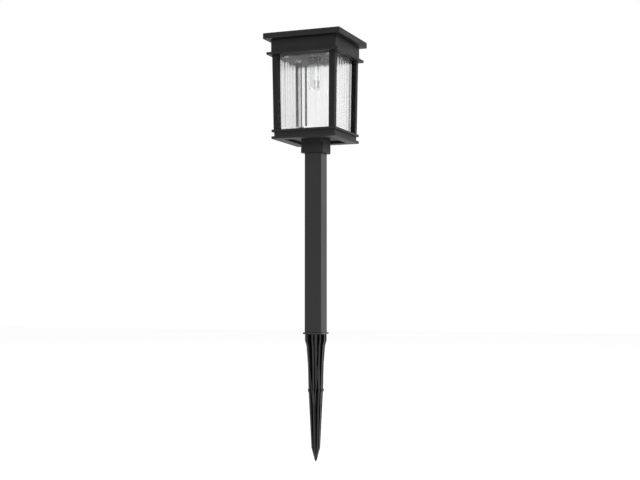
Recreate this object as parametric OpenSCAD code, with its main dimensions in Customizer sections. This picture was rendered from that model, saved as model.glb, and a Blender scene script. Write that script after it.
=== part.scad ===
// Solar garden light: a square lantern with ribbed clear windows, on a square pole and a ground
// stake. The flat roof carries the solar panel. The origin is at ground level, at the centre of
// the stake flange's underside. +Z is up and +X is to the right of the front window.

/* [Roof] */
// Side of the flat square roof
roof_w = 102; // [100:1:110]
// Thickness of the roof slab
roof_t = 7; // [6.5:0.5:9]
// Side of the solar panel set into the roof
solar_w = 66; // [50:1:74]
// Number of cell strips on the solar panel
cell_strips = 8; // [4:1:12]

/* [Top housing] */
// Side of the square housing under the roof
housing_w = 86.6; // [86:0.2:88]
// Height of the housing above its rim
housing_h = 16.5; // [16.5:0.5:22]
// Side of the thin rim round the housing's lower edge
rim_w = 95.6; // [92:0.2:98]
// Thickness of the housing's rim
rim_t = 2.9; // [2:0.1:4]

/* [Lantern] */
// Height of the windows
window_h = 94; // [80:1:120]
// Width over the corner posts at their top
post_top_w = 84; // [84:0.2:85]
// Width over the corner posts at their foot
post_foot_w = 81; // [79:0.2:82]
// Side of a corner post
post_w = 7.6; // [6.5:0.1:8]
// How far the windows lie behind the posts' outer faces
window_inset = 4.5; // [4:0.1:4.6]
// Thickness of the window plates between the ribs
window_t = 1.6; // [1.2:0.1:1.8]
// Number of upright ribs on a window
window_ribs = 8; // [5:1:13]
// Height of a rib above the plate
rib_h = 0.35; // [0.2:0.05:1.2]
// Plain band below the ribs
plain_band_h = 2; // [1:1:12]

/* [Base] */
// Side of the two thin flanges of the base
base_flange_w = 85.6; // [84:0.2:90]
// Side of the block between the flanges
base_block_w = 80.4; // [78:0.2:82]
// Height of the block between the flanges
base_block_h = 5.5; // [4:0.5:10]
// Thickness of the upper flange
upper_flange_t = 2.8; // [2:0.1:4]
// Thickness of the lower flange
lower_flange_t = 3.2; // [3:0.1:4]
// Side of the square plate set up into the base
socket_plate_w = 57.6; // [54:0.2:58]
// Open seam round the square plate
seam_w = 1.3; // [0.6:0.1:1.6]
// Side of the collar that takes the pole
collar_w = 29.8; // [29:0.2:34]
// Height of the collar below the base
collar_h = 15.5; // [12:0.5:25]

/* [Pole and stake] */
// Side of the square pole
pole_w = 22.2; // [21.8:0.1:22.4]
// Wall of the square pole
pole_wall = 0.8; // [0.6:0.1:1]
// Visible length of the pole
pole_visible_h = 225.5; // [150:0.5:400]
// Side of the stake's flange
stake_flange_w = 25.4; // [24:0.2:30]
// Thickness of the stake's flange
stake_flange_t = 2.2; // [1.6:0.1:3]
// Length of the stake below its flange
stake_l = 159; // [120:1:200]
// Reach of the stake's corner fins at their top
fin_reach = 12.3; // [11:0.1:13]
// Thickness of a stake fin
fin_t = 2; // [1.6:0.1:2.4]

/* [Bulb and battery] */
// Diameter of the clear bulb
bulb_d = 14; // [12:0.5:15]
// How far the bulb hangs below the ceiling
bulb_drop = 40.7; // [30:0.1:50]
// Diameter of the rechargeable cell
battery_d = 14.2; // [13.8:0.1:14.5]
// Length of the cell without its button
battery_l = 49.2; // [48:0.1:49.4]

/* [Hidden] */
$fn = 48;
eps = 0.01;

// Colours of the finishes
satin_black = [0.08, 0.08, 0.09];
gloss_black = [0.05, 0.05, 0.05];
clear = [0.9, 0.95, 1, 0.35];
steel = [0.75, 0.75, 0.77];

// Levels from the ground up
pole_foot_z = stake_flange_t;
collar_foot_z = pole_foot_z + pole_visible_h;
base_z = collar_foot_z + collar_h;
block_z = base_z + lower_flange_t;
upper_flange_z = block_z + base_block_h;
floor_z = upper_flange_z + upper_flange_t;
ceiling_z = floor_z + window_h;
housing_z = ceiling_z + rim_t;
roof_z = housing_z + housing_h;
top_z = roof_z + roof_t;

// Fits
gap = 0.3;
pin_play = 0.05;

// Base
corner_r = 1.2;
base_wall = 1.4;
pole_top_z = pole_foot_z + pole_visible_h + 22.3;
socket_top_z = pole_top_z + gap + 1.6;
socket_hole_w = pole_w + 2 * gap;
base_ledge_w = socket_plate_w - 1.6;
plate_z = block_z;
plate_top_z = plate_z + 2.5;
neck_groove_z = base_z - 3.2;
neck_groove = [0.5, 0.4];
base_screw_at = 23.8;

// Screws
screw_head_d = 4.8;
screw_head_h = 1.5;
screw_shank_d = 2;
screw_hole_d = 2.2;
screw_boss_d = 6.4;

// Stake
fin_root_reach = fin_reach + 2.1;
fin_root_h = 8;
fin_shoulder_depth = 14.5;
stake_core_r = [6.4, 3.1];
stake_point_h = 16;
strut_d = 1.7;
strut_top_depth = 34;
strut_top_reach = fin_reach * 0.8;
strut_foot_depth = 92;
strut_foot_reach = fin_reach * 0.5;

// Stake plug inside the pole
plug_w = pole_w - 2 * pole_wall - 0.6;
plug_h = 24;
plug_wall = 2;

// Lantern frame
frame_ring_w = 81;
frame_ring_h = 6.2;
tub_w = 66;
frame_hole_w = tub_w + 1.4;
window_groove = 1.2;
window_span = post_top_w - 2 * post_w;
window_face_y = post_top_w / 2 - window_inset;

// Top housing
housing_wall = 2;
housing_inner_w = housing_w - 2 * housing_wall;
ledge_hole_w = housing_inner_w - 4;
tub_plate_w = housing_inner_w - 0.4;
tub_plate_t = 2;
tub_floor_t = 1.6;
tub_wall = 1.6;
tub_floor_top_z = ceiling_z + tub_floor_t;
tub_plate_z = ceiling_z + frame_ring_h;
ledge_z = tub_plate_z + tub_plate_t;
ledge_t = 2;
housing_screw_at = [[-28, -27.5], [28, -27.5], [-28, 6], [28, 6]];
gasket_t = 0.5;

// Roof
roof_hollow_w = 78;
roof_skin = 1.8;
solar_recess = 1.8;
roof_hollow_z = top_z - solar_recess - roof_skin;
board_z = top_z - solar_recess;
board_t = 0.8;
cell_z = board_z + board_t;
cell_t = 0.25;
cover_z = cell_z + cell_t;
lead_hole_d = 5;

// Battery compartment, along X behind the bulb
battery_y = 20;
battery_z = tub_floor_top_z + 0.6 + battery_d / 2;
battery_x = -25.2;
button_d = 5;
button_l = 1.3;
door_gap = 0.4;
bay_half = 26;
bay_front_y = 11;
bay_back_y = 30.6;
hinge_y = 28.3;
hinge_z = tub_floor_top_z + gap;
knuckle_r = 1.2;
hinge_pin_r = 0.7;
hinge_pin_reach = 1.6;
contact_t = 0.6;
contact_w = 11;
contact_h = 12.5;

// Circuit board in front of the bulb
pcb_size = [40, 13, 1.2];
pcb_y = -19.5;
pcb_z = tub_floor_top_z + 2.4;
lead_d = 1.2;

// Slide switch left of the bulb
switch_at = [-20, -1.5];
switch_size = [9.6, 5, 3.8];
switch_cavity = [7, 3, 2];
switch_wall = 0.9;
switch_slider = [3.4, 2.4, 1.4];
switch_stem = [2.2, 1.4];
switch_travel = 3;
switch_slot = [switch_stem.x + switch_travel + 0.6, 2];

// Bulb and its socket
socket_d = 18;
socket_lip_d = 22;
socket_lip_t = 1.2;
socket_foot_z = ceiling_z - 2.5;
socket_height = 15.5;
socket_roof_t = 4;
bulb_wall = 0.8;
bulb_top_z = socket_foot_z + socket_height - socket_roof_t;
bulb_end_z = ceiling_z - bulb_drop;
led_d = 5;
led_z = bulb_end_z + 4;
led_l = 8.6;
leg_w = 0.6;
leg_pitch = 2.54;
anvil_size = [2.2, 1, 2.6];

// ---- shapes that repeat ----

module rounded_square(w, r) {
    square([w - 2 * r, w], center = true);
    square([w, w - 2 * r], center = true);
    for (x = [-1, 1], y = [-1, 1])
        translate([x * (w / 2 - r), y * (w / 2 - r)])
            circle(r);
}

module square_block(w, r, z0, z1) {
    translate([0, 0, z0])
        linear_extrude(z1 - z0)
            rounded_square(w, r);
}

module square_ring(w, r, hole_w, hole_r, z0, z1) {
    difference() {
        square_block(w, r, z0, z1);
        square_block(hole_w, hole_r, z0 - eps, z1 + eps);
    }
}

module box(size, at) {
    translate(at)
        cube(size);
}

// A screw with its head down, at z, reaching up by its shank
module screw(z, shank_l) {
    difference() {
        translate([0, 0, z])
            cylinder(d = screw_head_d, h = screw_head_h);
        for (turn = [0, 90])
            rotate(turn)
                translate([-1.3, -0.3, z - eps])
                    cube([2.6, 0.6, 0.9]);
    }
    translate([0, 0, z + screw_head_h - eps])
        cylinder(d = screw_shank_d, h = shank_l);
}

// Direction of a route at point i, halfway between the runs that meet there
function route_way(points, i) =
    let (
        before = points[max(i, 1)] - points[max(i, 1) - 1],
        after = points[min(i, len(points) - 2) + 1] - points[min(i, len(points) - 2)],
        way = before / norm(before) + after / norm(after)
    )
    way / norm(way);

// One ring of a round wire, square to the route
function wire_ring(points, i, r, sides) =
    let (
        way = route_way(points, i),
        across = cross(way, [1, 0, 0]) / norm(cross(way, [1, 0, 0])),
        up = cross(across, way)
    )
    [
        for (k = [0 : sides - 1])
            let (turn = 360 * k / sides)
            points[i] + r * (cos(turn) * across + sin(turn) * up)
    ];

// A round wire swept along a route
module wire_run(points, d) {
    sides = 8;
    rings = len(points);
    shell = [
        for (i = [0 : rings - 2], k = [0 : sides - 1])
            let (lower = i * sides, upper = (i + 1) * sides, next = (k + 1) % sides)
            [lower + k, lower + next, upper + next, upper + k]
    ];
    polyhedron(
        points = [for (i = [0 : rings - 1]) each wire_ring(points, i, d / 2, sides)],
        faces = concat(
            [[for (k = [sides - 1 : -1 : 0]) k]],
            shell,
            [[for (k = [0 : sides - 1]) (rings - 1) * sides + k]]
        ),
        convexity = 4
    );
}

// The lantern narrows towards its foot. Shapes are drawn at the posts' top width.
function lantern_scale(z) =
    (post_foot_w + (post_top_w - post_foot_w) * (z - floor_z) / window_h) / post_top_w;

module lantern_extrude(z0, z1) {
    translate([0, 0, z0])
        linear_extrude(z1 - z0, scale = lantern_scale(z1) / lantern_scale(z0))
            scale(lantern_scale(z0))
                children();
}

// ---- stake and pole ----

// Edge of a stake fin from the flange to its point, with its reach scaled by k.
// The small step near the middle is a barb that holds the stake in the soil.
function fin_edge(k) = [
    [k * fin_root_reach, eps],
    [k * fin_root_reach, -fin_root_h],
    [k * fin_reach, -fin_shoulder_depth],
    [k * fin_reach * 0.84, -0.24 * stake_l],
    [k * fin_reach * 0.78, -0.425 * stake_l],
    [k * fin_reach * 0.86, -0.437 * stake_l],
    [k * fin_reach * 0.86, -0.443 * stake_l],
    [k * fin_reach * 0.76, -0.46 * stake_l],
    [k * fin_reach * 0.46, -0.89 * stake_l],
    [0.9, 1.5 - stake_l],
];

function mirrored_edge(points) = [for (i = [len(points) - 1 : -1 : 0]) [-points[i].x, points[i].y]];

// Round strut between two points
module strut(from, to) {
    run = from - to;
    translate(to)
        rotate([0, acos(run.z / norm(run)), atan2(run.y, run.x)])
            cylinder(d = strut_d, h = norm(run), $fn = 16);
}

module ground_stake() {
    color(gloss_black) {
        square_block(stake_flange_w, corner_r, 0, stake_flange_t);
        // four blades that cross make eight fins
        for (turn = [0 : 45 : 135])
            rotate([90, 0, turn])
                translate([0, 0, -fin_t / 2])
                    linear_extrude(fin_t)
                        polygon(concat(
                            fin_edge(turn % 90 == 0 ? 0.82 : 1),
                            mirrored_edge(fin_edge(turn % 90 == 0 ? 0.82 : 1))
                        ));
        // round core, thick under the flange and pointed at its foot
        rotate_extrude()
            polygon([
                [0, eps],
                [stake_core_r[0], eps],
                [stake_core_r[0], -fin_root_h],
                [stake_core_r[1], -strut_foot_depth],
                [stake_core_r[1], stake_point_h - stake_l],
                [0.3, -stake_l],
                [0, -stake_l],
            ]);
        // struts that run down from the corner fins and meet on the fins between them
        for (turn = [0 : 90 : 270], side = [-1, 1])
            rotate(turn)
                strut(
                    [strut_top_reach * cos(45), side * strut_top_reach * sin(45), -strut_top_depth],
                    [strut_foot_reach, 0, -strut_foot_depth]
                );
        square_ring(plug_w, 1, plug_w - 2 * plug_wall, 0.5, stake_flange_t - eps, stake_flange_t + plug_h);
    }
}

module pole() {
    color(satin_black)
        square_ring(pole_w, 1.6, pole_w - 2 * pole_wall, 0.8, pole_foot_z, pole_top_z);
}

// ---- base ----

module at_base_screws() {
    for (x = [-1, 1], y = [-1, 1])
        translate([x * base_screw_at, y * base_screw_at, 0])
            children();
}

module socket_plate() {
    color(satin_black)
        difference() {
            union() {
                square_block(socket_plate_w, corner_r, plate_z, plate_top_z);
                square_block(collar_w, 2.4, collar_foot_z, socket_top_z);
            }
            square_block(socket_hole_w, 1.8, collar_foot_z - eps, pole_top_z + gap);
            // fine groove between the collar and its neck
            square_ring(
                collar_w + 2, 1, collar_w - 2 * neck_groove.y, 2,
                neck_groove_z, neck_groove_z + neck_groove.x
            );
            at_base_screws() {
                translate([0, 0, plate_z - eps])
                    cylinder(d = screw_head_d + 0.4, h = screw_head_h + 0.3);
                translate([0, 0, plate_z])
                    cylinder(d = screw_hole_d + 0.4, h = plate_top_z - plate_z + eps);
            }
        }
}

module base_tray() {
    hollow_top_z = floor_z - base_wall;
    color(satin_black) {
        difference() {
            union() {
                square_block(base_flange_w, corner_r, base_z, block_z);
                square_block(base_block_w, corner_r, block_z - eps, upper_flange_z + eps);
                square_block(base_flange_w, corner_r, upper_flange_z, floor_z);
            }
            square_block(socket_plate_w + 2 * seam_w, corner_r, base_z - eps, plate_top_z);
            square_block(base_ledge_w, corner_r, plate_top_z - eps, hollow_top_z);
        }
        at_base_screws()
            difference() {
                translate([0, 0, plate_top_z])
                    cylinder(d = screw_boss_d, h = hollow_top_z - plate_top_z + eps);
                translate([0, 0, plate_top_z - eps])
                    cylinder(d = screw_hole_d, h = hollow_top_z - plate_top_z - 0.4);
            }
    }
}

module base_screws() {
    color(steel)
        at_base_screws()
            screw(plate_z + 0.2, 3.8);
}

// ---- lantern ----

module post_section() {
    side = post_top_w / 2;
    for (turn = [0 : 90 : 270])
        rotate(turn)
            difference() {
                translate([side - post_w, side - post_w])
                    square(post_w);
                for (flip = [0, 1])
                    mirror([flip, -flip])
                        translate([0, window_face_y - window_t])
                            square([side - post_w + window_groove, window_t]);
            }
}

module lantern_frame() {
    color(satin_black) {
        lantern_extrude(floor_z, ceiling_z)
            post_section();
        square_ring(frame_ring_w, corner_r, frame_hole_w, 1, ceiling_z - eps, tub_plate_z);
    }
}

// Cross-section of one window: a flat inner face, and rounded ribs on the outer face
module window_plate_section() {
    half = window_span / 2 + window_groove;
    translate([-half, -window_face_y])
        square([2 * half, window_t]);
}

// The ribs are one smooth wave, with half a rib against each post
module window_rib_section() {
    pitch = window_span / window_ribs;
    steps = 8;
    root_y = -window_face_y + window_t / 2;
    wave = [
        for (i = [0 : window_ribs * steps])
            [
                -window_span / 2 + pitch * i / steps,
                -window_face_y - rib_h * (1 + cos(360 * i / steps)) / 2
            ]
    ];
    polygon(concat([[-window_span / 2, root_y]], wave, [[window_span / 2, root_y]]));
}

module window(turn) {
    color(clear)
        rotate(turn) {
            lantern_extrude(floor_z, ceiling_z)
                window_plate_section();
            lantern_extrude(floor_z + plain_band_h, ceiling_z)
                window_rib_section();
        }
}

module window_front() {
    window(0);
}

module window_right() {
    window(90);
}

module window_back() {
    window(180);
}

module window_left() {
    window(270);
}

// ---- top housing and roof ----

module top_housing() {
    color(satin_black) {
        square_ring(rim_w, corner_r, housing_inner_w, 1, ceiling_z, housing_z);
        square_ring(housing_w, corner_r, housing_inner_w, 1, housing_z - eps, roof_z - gasket_t);
        square_ring(housing_w - housing_wall, 1, ledge_hole_w, 1, ledge_z, ledge_z + ledge_t);
    }
}

module roof_gasket() {
    color([0.03, 0.03, 0.03])
        square_ring(housing_w - 0.6, 1, housing_inner_w + 0.6, 1, roof_z - gasket_t, roof_z);
}

module at_housing_screws() {
    for (at = housing_screw_at)
        translate([at.x, at.y, 0])
            children();
}

module roof_cap() {
    color(satin_black) {
        difference() {
            square_block(roof_w, corner_r, roof_z, top_z);
            square_block(solar_w + 0.6, 1, board_z, top_z + eps);
            square_block(roof_hollow_w, 1, roof_z - eps, roof_hollow_z);
            translate([0, 0, roof_hollow_z - eps])
                cylinder(d = lead_hole_d, h = roof_skin + 2 * eps);
        }
        at_housing_screws()
            difference() {
                translate([0, 0, tub_floor_top_z])
                    cylinder(d = screw_boss_d, h = roof_hollow_z - tub_floor_top_z + eps);
                translate([0, 0, tub_floor_top_z - eps])
                    cylinder(d = screw_hole_d, h = 8);
            }
    }
}

module solar_board() {
    color([0.85, 0.86, 0.84])
        square_block(solar_w, 0.8, board_z, cell_z);
}

module solar_cells() {
    margin = 2;
    split = 0.8;
    pitch = (solar_w - 2 * margin + split) / cell_strips;
    color([0.06, 0.08, 0.2])
        for (i = [0 : cell_strips - 1])
            box(
                [pitch - split, solar_w - 2 * margin, cell_t],
                [-solar_w / 2 + margin + i * pitch, -solar_w / 2 + margin, cell_z]
            );
}

module solar_cover() {
    color(clear)
        square_block(solar_w, 0.8, cover_z, top_z);
}

module housing_tub() {
    tub_inner_w = tub_w - 2 * tub_wall;
    ear = [1.7, 3.6];
    color(satin_black)
        difference() {
            union() {
                square_ring(tub_plate_w, 1, tub_inner_w, 1, tub_plate_z, ledge_z);
                square_ring(tub_w, 1, tub_inner_w, 1, ceiling_z, tub_plate_z + eps);
                square_block(tub_w, 1, ceiling_z, tub_floor_top_z);
                // ears that hold the battery door's pins
                for (side = [-1, 1])
                    translate([side * (bay_half + ear.x / 2), hinge_y, tub_floor_top_z])
                        translate([-ear.x / 2, -ear.y / 2, -eps])
                            cube([ear.x, ear.y, 2.4]);
                // posts under the circuit board
                for (x = [-15, 15])
                    translate([x, pcb_y, tub_floor_top_z - eps])
                        cylinder(d = 4, h = pcb_z - tub_floor_top_z + eps);
            }
            // battery bay
            box(
                [2 * bay_half, bay_back_y - bay_front_y, tub_floor_t + 2 * eps],
                [-bay_half, bay_front_y, ceiling_z - eps]
            );
            translate([-bay_half - 2 * hinge_pin_reach, hinge_y, hinge_z])
                rotate([0, 90, 0])
                    cylinder(r = hinge_pin_r + pin_play, h = 2 * bay_half + 4 * hinge_pin_reach);
            // hole for the bulb socket
            translate([0, 0, ceiling_z - eps])
                cylinder(d = socket_d + 0.2, h = tub_floor_t + 2 * eps);
            // slot for the switch knob
            box(
                [switch_slot.x, switch_slot.y, tub_floor_t + 2 * eps],
                [switch_at.x - switch_slot.x / 2, switch_at.y - switch_slot.y / 2, ceiling_z - eps]
            );
            at_housing_screws()
                translate([0, 0, ceiling_z - eps])
                    cylinder(d = screw_hole_d + 0.4, h = tub_floor_t + 2 * eps);
        }
}

module housing_screws() {
    color(steel)
        at_housing_screws()
            screw(ceiling_z - screw_head_h, 8);
}

// ---- electrics ----

module circuit_board() {
    color([0.1, 0.35, 0.15])
        box(pcb_size, [-pcb_size.x / 2, pcb_y - pcb_size.y / 2, pcb_z]);
}

module driver_chip() {
    body = [5, 4, 1.6];
    foot_t = 0.3;
    top = pcb_z + pcb_size.z;
    color([0.05, 0.05, 0.05])
        box([body.x, body.y, body.z - foot_t], [-12, pcb_y - body.y / 2, top + foot_t]);
    color(steel)
        for (i = [0 : 3])
            box([0.5, 6.4, foot_t], [-11.6 + i * 1.25, pcb_y - 3.2, top]);
}

module choke_coil() {
    coil_r = 1.7;
    top = pcb_z + pcb_size.z;
    color([0.2, 0.5, 0.3])
        translate([2, pcb_y, top + coil_r])
            rotate([0, 90, 0])
                cylinder(r = coil_r, h = 9);
}

// The leads come down from the solar panel and bend to the board
module solar_leads() {
    top = pcb_z + pcb_size.z;
    color([0.6, 0.05, 0.05])
        for (side = [-1, 1])
            wire_run([
                [side * 1.2, 0, board_z],
                [side * 1.2, 0, roof_hollow_z - 1.6],
                [side * 12, -14, roof_hollow_z - 1.6],
                [side * 18, pcb_y, top + 3],
                [side * 18, pcb_y, top],
            ], lead_d);
}

module battery_leads() {
    top = pcb_z + pcb_size.z;
    lead_x = bay_half + contact_t + lead_d / 2 + 0.03;
    color([0.1, 0.1, 0.1])
        for (side = [-1, 1])
            wire_run([
                [side * lead_x, battery_y - 4, battery_z + 1],
                [side * lead_x, battery_y - 4, battery_z + 5.5],
                [side * 23, 9, battery_z + 8],
                [side * 21, -8, battery_z + 2],
                [side * 16, pcb_y + 4, top + 2.6],
                [side * 16, pcb_y + 4, top + eps],
            ], lead_d);
}

module battery_cell() {
    color([0.2, 0.55, 0.3])
        translate([battery_x, battery_y, battery_z])
            rotate([0, 90, 0]) {
                cylinder(d = battery_d, h = battery_l);
                cylinder(d = button_d, h = battery_l + button_l);
            }
}

// A contact stands on the floor at one end of the battery bay, on the side given
module contact(side) {
    translate([side * (bay_half + contact_t / 2), battery_y, tub_floor_top_z])
        translate([-contact_t / 2, -contact_w / 2, 0])
            cube([contact_t, contact_w, contact_h]);
}

module contact_spring() {
    color(steel) {
        contact(-1);
        translate([-bay_half - eps, battery_y, battery_z])
            rotate([0, 90, 0])
                cylinder(r1 = 4.6, r2 = 2.6, h = battery_x + bay_half + eps);
    }
}

module contact_plate() {
    button_x = battery_x + battery_l + button_l;
    color(steel) {
        contact(1);
        translate([button_x, battery_y, battery_z])
            rotate([0, 90, 0])
                cylinder(r1 = 1.6, r2 = 2.4, h = bay_half - button_x + eps);
    }
}

module battery_door() {
    half = bay_half - door_gap;
    color(satin_black) {
        box(
            [2 * half, hinge_y - bay_front_y - door_gap, tub_floor_t],
            [-half, bay_front_y + door_gap, ceiling_z]
        );
        translate([-half, hinge_y, hinge_z])
            rotate([0, 90, 0])
                cylinder(r = knuckle_r, h = 2 * half);
        translate([-half - hinge_pin_reach, hinge_y, hinge_z])
            rotate([0, 90, 0])
                cylinder(r = hinge_pin_r, h = 2 * (half + hinge_pin_reach));
    }
}

module switch_body() {
    floor_top = tub_floor_top_z;
    color([0.1, 0.1, 0.1])
        difference() {
            box(switch_size, [switch_at.x - switch_size.x / 2, switch_at.y - switch_size.y / 2, floor_top]);
            box(switch_cavity, [
                switch_at.x - switch_cavity.x / 2,
                switch_at.y - switch_cavity.y / 2,
                floor_top + switch_wall
            ]);
            box(
                [switch_slot.x, switch_slot.y, switch_wall + 2 * eps],
                [switch_at.x - switch_slot.x / 2, switch_at.y - switch_slot.y / 2, floor_top - eps]
            );
        }
}

// The knob rests at the left end of its travel
module switch_knob() {
    rest_x = switch_at.x - switch_travel / 2;
    slider_z = tub_floor_top_z + switch_wall + gap;
    knob_foot_z = ceiling_z - 1.4;
    color([0.85, 0.85, 0.85]) {
        box(switch_slider, [rest_x - switch_slider.x / 2, switch_at.y - switch_slider.y / 2, slider_z]);
        box(
            [switch_stem.x, switch_stem.y, slider_z - knob_foot_z + eps],
            [rest_x - switch_stem.x / 2, switch_at.y - switch_stem.y / 2, knob_foot_z]
        );
    }
}

// ---- bulb ----

module bulb_socket() {
    color(satin_black)
        translate([0, 0, socket_foot_z])
            difference() {
                union() {
                    cylinder(d = socket_d, h = socket_height);
                    translate([0, 0, tub_floor_top_z - socket_foot_z])
                        cylinder(d = socket_lip_d, h = socket_lip_t);
                }
                translate([0, 0, -eps])
                    cylinder(d = bulb_d + 0.2, h = socket_height - socket_roof_t + eps);
            }
}

module bulb_envelope() {
    r = bulb_d / 2;
    color(clear)
        difference() {
            union() {
                translate([0, 0, bulb_end_z + r])
                    cylinder(r = r, h = bulb_top_z - bulb_end_z - r);
                translate([0, 0, bulb_end_z + r])
                    sphere(r);
            }
            translate([0, 0, bulb_end_z + r])
                cylinder(r = r - bulb_wall, h = bulb_top_z - bulb_end_z - r + eps);
            translate([0, 0, bulb_end_z + r])
                sphere(r - bulb_wall);
        }
}

// Two legs hang from the socket, and the wider one ends in the cup that holds the chip
module led_frame() {
    leg_foot_z = led_z + 3.4;
    color(steel) {
        for (side = [-1, 1])
            box(
                [leg_w, leg_w, bulb_top_z - leg_foot_z],
                [side * leg_pitch / 2 - leg_w / 2, -leg_w / 2, leg_foot_z]
            );
        box(anvil_size, [-leg_pitch / 2 - leg_w / 2, -anvil_size.y / 2, leg_foot_z]);
    }
}

module led_lens() {
    r = led_d / 2;
    color([1, 0.95, 0.75, 0.5])
        difference() {
            union() {
                translate([0, 0, led_z + r])
                    cylinder(r = r, h = led_l - r);
                translate([0, 0, led_z + r])
                    sphere(r);
                translate([0, 0, led_z + led_l - 1])
                    cylinder(r = r + 0.4, h = 1);
            }
            led_frame();
        }
}

ground_stake();
pole();
socket_plate();
base_tray();
base_screws();
lantern_frame();
window_front();
window_right();
window_back();
window_left();
top_housing();
roof_cap();
roof_gasket();
solar_board();
solar_cells();
solar_cover();
housing_tub();
housing_screws();
circuit_board();
driver_chip();
choke_coil();
solar_leads();
battery_leads();
battery_cell();
contact_spring();
contact_plate();
battery_door();
switch_body();
switch_knob();
bulb_socket();
bulb_envelope();
led_lens();
led_frame();
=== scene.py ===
# %% [markdown]
# # A solar garden light
#
# This lesson dresses a garden light that was drawn in CAD: a square lantern with ribbed clear
# windows, a flat roof that carries a small solar panel, a square pole and a ground stake. The CAD
# model is the fixed frame. It says where every part is and how it moves. Blender adds what CAD
# leaves out: the finishes, the softened edges, and the small things inside, such as the coil
# spring under the rechargeable cell.
#
# The frame has to be loaded before anything else, because every later cell asks it for positions.

# %% Load the frame
import math

import bmesh
import bpy
from mathutils import Euler, Matrix, Vector


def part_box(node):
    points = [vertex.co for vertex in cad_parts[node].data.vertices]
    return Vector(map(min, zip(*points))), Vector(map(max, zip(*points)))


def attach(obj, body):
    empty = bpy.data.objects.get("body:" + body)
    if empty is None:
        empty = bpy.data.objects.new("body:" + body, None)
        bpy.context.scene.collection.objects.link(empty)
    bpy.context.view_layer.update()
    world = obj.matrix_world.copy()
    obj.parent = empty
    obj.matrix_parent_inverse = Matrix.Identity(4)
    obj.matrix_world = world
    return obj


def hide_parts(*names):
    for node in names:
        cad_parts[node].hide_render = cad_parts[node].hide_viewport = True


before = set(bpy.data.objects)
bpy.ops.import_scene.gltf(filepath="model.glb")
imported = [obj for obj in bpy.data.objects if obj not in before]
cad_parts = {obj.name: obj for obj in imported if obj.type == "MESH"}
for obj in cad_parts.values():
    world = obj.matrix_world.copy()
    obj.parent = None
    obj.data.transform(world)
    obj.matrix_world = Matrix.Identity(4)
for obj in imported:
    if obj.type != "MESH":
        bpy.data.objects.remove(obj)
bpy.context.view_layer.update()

# %% [markdown]
# ## Real sizes
#
# Everything here is in metres, but a maker thinks in millimetres, so one value turns one into the
# other. The levels come from the boxes of the CAD parts. Only sizes that a box can't tell, such as
# the width of a corner post, are repeated from the drawing.

# %% Sizes shared by several pieces
MM = 0.001


def low_mm(node):
    """The lowest corner of a CAD part, in millimetres."""
    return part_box(node)[0] / MM


def high_mm(node):
    """The highest corner of a CAD part, in millimetres."""
    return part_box(node)[1] / MM


floor_z = low_mm("window_front").z
ceiling_z = high_mm("window_front").z
stake_tip_z = low_mm("ground_stake").z
post_top_w = 84.0
post_foot_w = 81.0
post_w = 7.6
print("windows from", round(floor_z, 1), "to", round(ceiling_z, 1), "mm above the ground")

# %% [markdown]
# ## The camera
#
# A garden light is tall and thin, so it is looked at from a metre and a half away through a long
# lens, which keeps the pole's sides nearly parallel. The camera stands near the ground, lower than
# the lantern, turned so that the right side just shows, and looks slightly upwards.

# %% Place the camera
camera_x, camera_y, camera_above_tip = 553.3, -1369.1, 201.1
camera_turn = math.radians(21.8)
camera_pitch = math.radians(2.95)
camera_data = bpy.data.cameras.new("camera")
camera_data.sensor_width = 36
camera_data.lens = 65.96
camera = bpy.data.objects.new("camera", camera_data)
bpy.context.scene.collection.objects.link(camera)
bpy.context.scene.camera = camera
camera.location = (camera_x * MM, camera_y * MM, stake_tip_z * MM + camera_above_tip * MM)
camera.rotation_euler = Euler((math.radians(90) + camera_pitch, 0, camera_turn))
print("camera at", [round(value, 3) for value in camera.location])

# %% [markdown]
# ## Nodes and colours
#
# A finish in Blender is a small network of nodes. One function adds a node, sets its options and
# fills its inputs. An input takes either a plain value or another node's output. Colours are
# written as hex values, as in a paint catalogue, and one function turns them into the linear
# values that Blender mixes light with.

# %% Helpers for colours and nodes
MIX_SHARE, MIX_FIRST, MIX_SECOND = 0, 6, 7  # inputs of a Mix node that mixes colours
MIX_RESULT = 2  # its output


def paint(hex_value):
    """Turns an sRGB hex colour into the linear colour that Blender uses."""
    channels = [int(hex_value[i:i + 2], 16) / 255 for i in (1, 3, 5)]
    linear = [c / 12.92 if c <= 0.04045 else ((c + 0.055) / 1.055) ** 2.4 for c in channels]
    return (*linear, 1.0)


def add_node(tree, kind, inputs=None, **options):
    """Adds a node, sets its options, and fills or links its inputs by name or number."""
    node = tree.nodes.new(kind)
    for name, value in options.items():
        setattr(node, name, value)
    for socket, value in (inputs or {}).items():
        if isinstance(value, bpy.types.NodeSocket):
            tree.links.new(value, node.inputs[socket])
        else:
            node.inputs[socket].default_value = value
    return node


print("white turns into", paint("#ffffff"))

# %% [markdown]
# ## Starting a finish
#
# Nearly every real finish is one Principled shader with its own colour, roughness, metallic value
# and index of refraction. Most finishes are kept under the name of the CAD material that they
# dress. The roughness given here is a usual one for the material, and a drift can replace it with
# a range that was matched to the object.

# %% Helper that starts a finish
finishes = {}


def new_finish(key, name, colour, roughness, metallic=0.0, ior=1.5, **sockets):
    """Starts a finish with one Principled shader and keeps it by its key. Returns tree and shader."""
    material = bpy.data.materials.new(name)
    material.use_nodes = True
    finishes[key] = material
    tree = material.node_tree
    shader = tree.nodes["Principled BSDF"]
    shader.inputs["Base Color"].default_value = paint(colour)
    shader.inputs["Roughness"].default_value = roughness
    shader.inputs["Metallic"].default_value = metallic
    shader.inputs["IOR"].default_value = ior
    for socket, value in sockets.items():
        shader.inputs[socket.replace("_", " ")].default_value = value
    return tree, shader


print("ready to mix finishes")

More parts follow.
